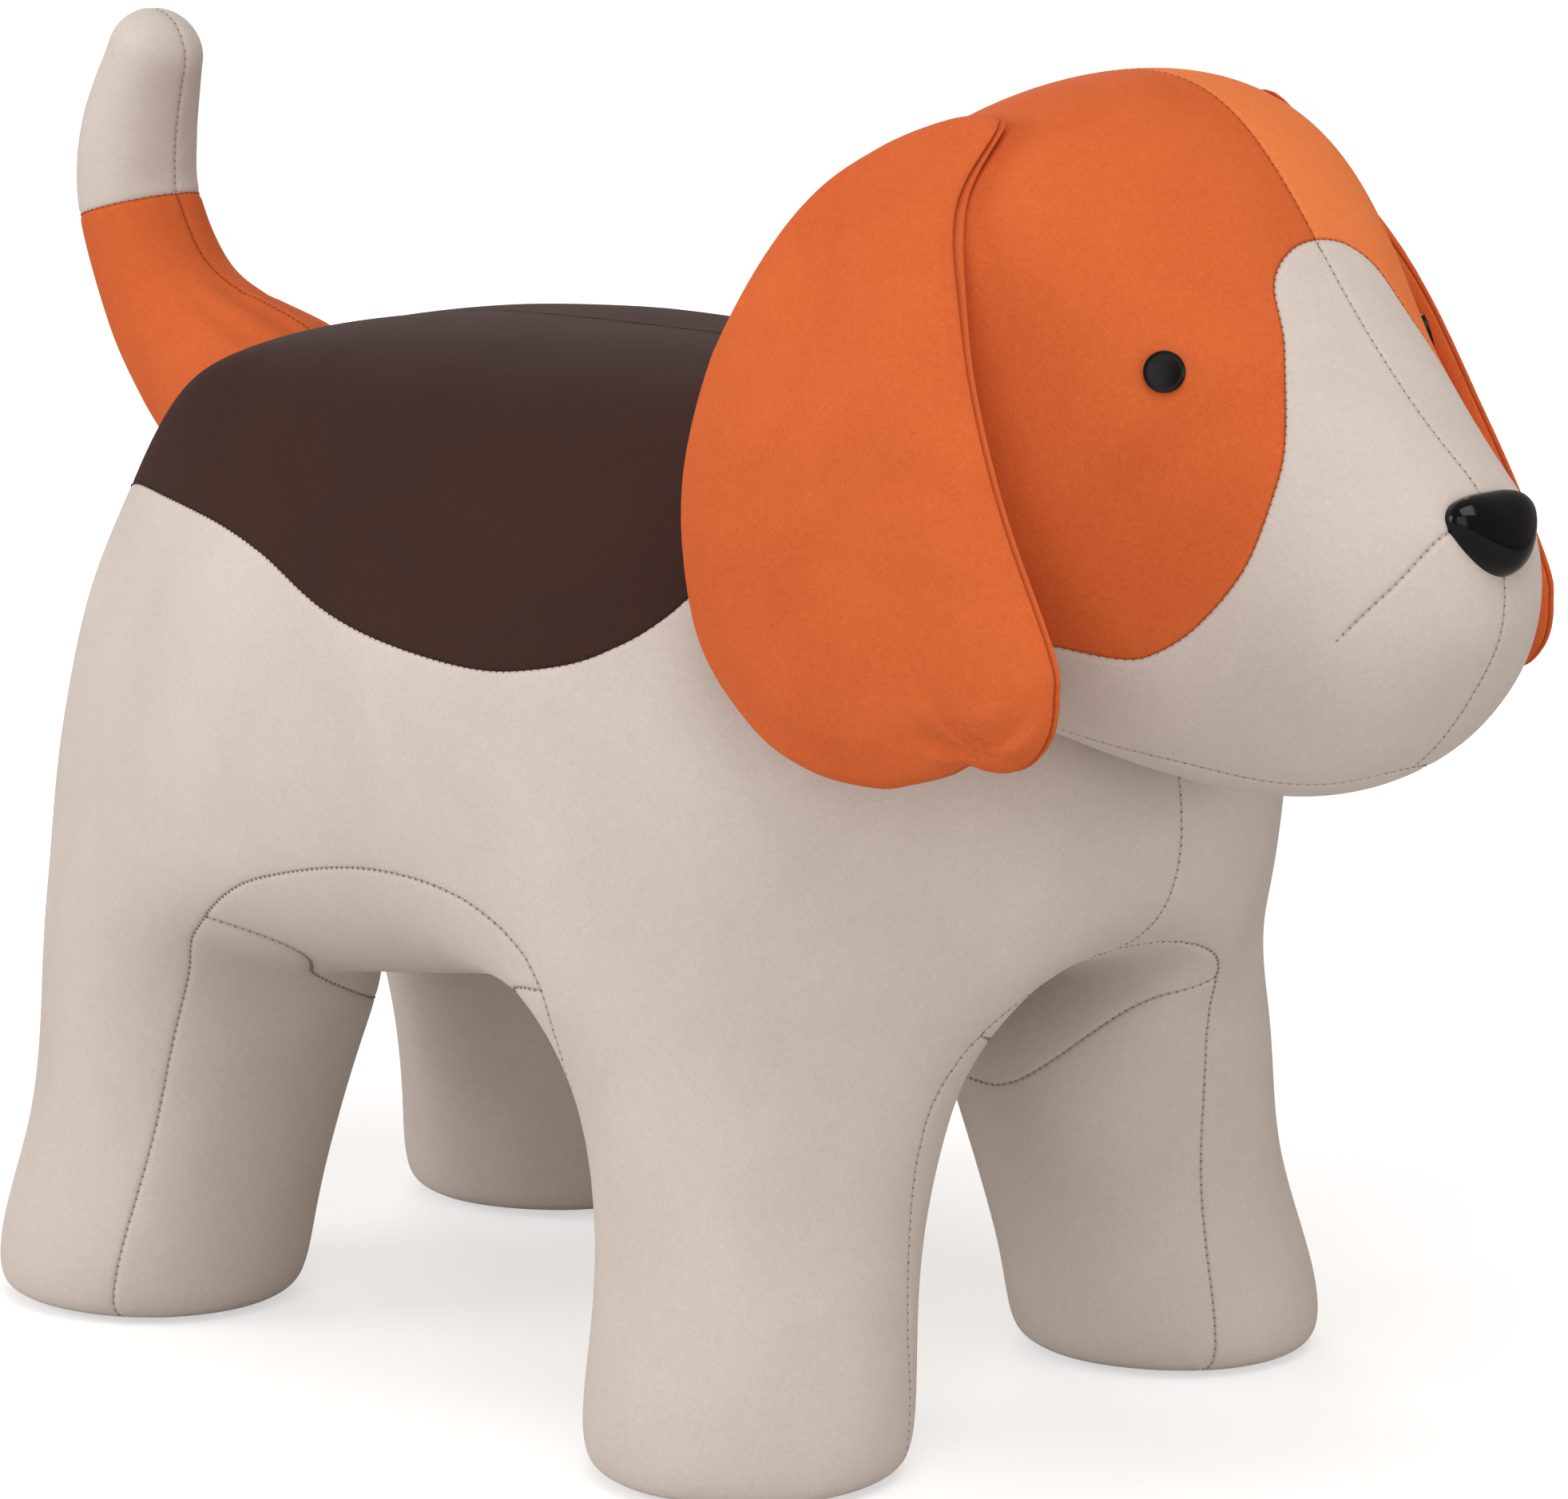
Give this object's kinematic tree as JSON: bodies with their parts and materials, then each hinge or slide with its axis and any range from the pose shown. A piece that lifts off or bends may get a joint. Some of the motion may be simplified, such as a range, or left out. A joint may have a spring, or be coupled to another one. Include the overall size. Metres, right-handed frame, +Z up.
{
  "type": "footstool",
  "caption": "Upholstered footstool shaped like a standing puppy, with a padded back to rest feet or sit on, a stuffed head, hanging ears that lift and an upright tail.",
  "frame": {"origin": "on the floor under the middle of the bounding box", "axes": "+Z up from the floor, -Y the way the animal faces, +X to its left"},
  "size_m": [0.3408, 0.7304, 0.4912],
  "materials": {
    "cream_cloth": "woven suede-like pile, cream",
    "orange_cloth": "woven suede-like pile, rust orange",
    "brown_cloth": "woven suede-like pile, very dark brown",
    "foam": "open-cell upholstery foam, pale yellow",
    "fibre": "white polyester fibre filling",
    "pine": "planed softwood",
    "plywood": "birch plywood",
    "black_plastic": "glossy black moulded plastic",
    "white_plastic": "white moulded plastic",
    "steel": "zinc-plated steel"
  },
  "bodies": {
    "footstool": {"belly_cover": "cream_cloth", "chin_cover": "cream_cloth", "eye_left": "black_plastic", "eye_right": "black_plastic", "eye_washer_left": "white_plastic", "eye_washer_right": "white_plastic", "foot_plate_front_left": "plywood", "foot_plate_front_right": "plywood", "foot_plate_rear_left": "plywood", "foot_plate_rear_right": "plywood", "front_rail": "pine", "glide_front_left": "black_plastic", "glide_front_right": "black_plastic", "glide_rear_left": "black_plastic", "glide_rear_right": "black_plastic", "head_board": "plywood", "head_bolt_left": "steel", "head_bolt_right": "steel", "head_cover_left": "orange_cloth", "head_cover_right": "orange_cloth", "head_stuffing": "fibre", "inner_leg_cover_front_left": "cream_cloth", "inner_leg_cover_front_right": "cream_cloth", "inner_leg_cover_rear_left": "cream_cloth", "inner_leg_cover_rear_right": "cream_cloth", "leg_foam_front_left": "foam", "leg_foam_front_right": "foam", "leg_foam_rear_left": "foam", "leg_foam_rear_right": "foam", "leg_post_front_left": "pine", "leg_post_front_right": "pine", "leg_post_rear_left": "pine", "leg_post_rear_right": "pine", "muzzle_cover_left": "cream_cloth", "muzzle_cover_right": "cream_cloth", "neck_board": "plywood", "nose": "black_plastic", "nose_washer": "white_plastic", "rear_rail": "pine", "saddle_cover_left": "brown_cloth", "saddle_cover_right": "brown_cloth", "seat_board": "plywood", "side_cover_left": "cream_cloth", "side_cover_right": "cream_cloth", "side_rail_left": "pine", "side_rail_right": "pine", "tail_cover_root": "orange_cloth", "tail_cover_tip": "cream_cloth", "tail_plate": "steel", "tail_rod": "steel", "tail_stuffing": "fibre", "torso_foam": "foam"},
    "ear_left": {"ear_outer_cover_left": "orange_cloth", "ear_inner_cover_left": "orange_cloth", "ear_padding_left": "fibre"},
    "ear_right": {"ear_outer_cover_right": "orange_cloth", "ear_inner_cover_right": "orange_cloth", "ear_padding_right": "fibre"}
  },
  "joints": [
    {"name": "ear_left_lift", "type": "hinge", "parent": "footstool", "child": "ear_left", "pos_m": [0.07, -0.16724, 0.476], "axis": [-0.3626, -0.8702, 0.3336], "range_deg": [0, 80]},
    {"name": "ear_right_lift", "type": "hinge", "parent": "footstool", "child": "ear_right", "pos_m": [-0.07, -0.16724, 0.476], "axis": [-0.3626, 0.8702, -0.3336], "range_deg": [0, 80]}
  ]
}
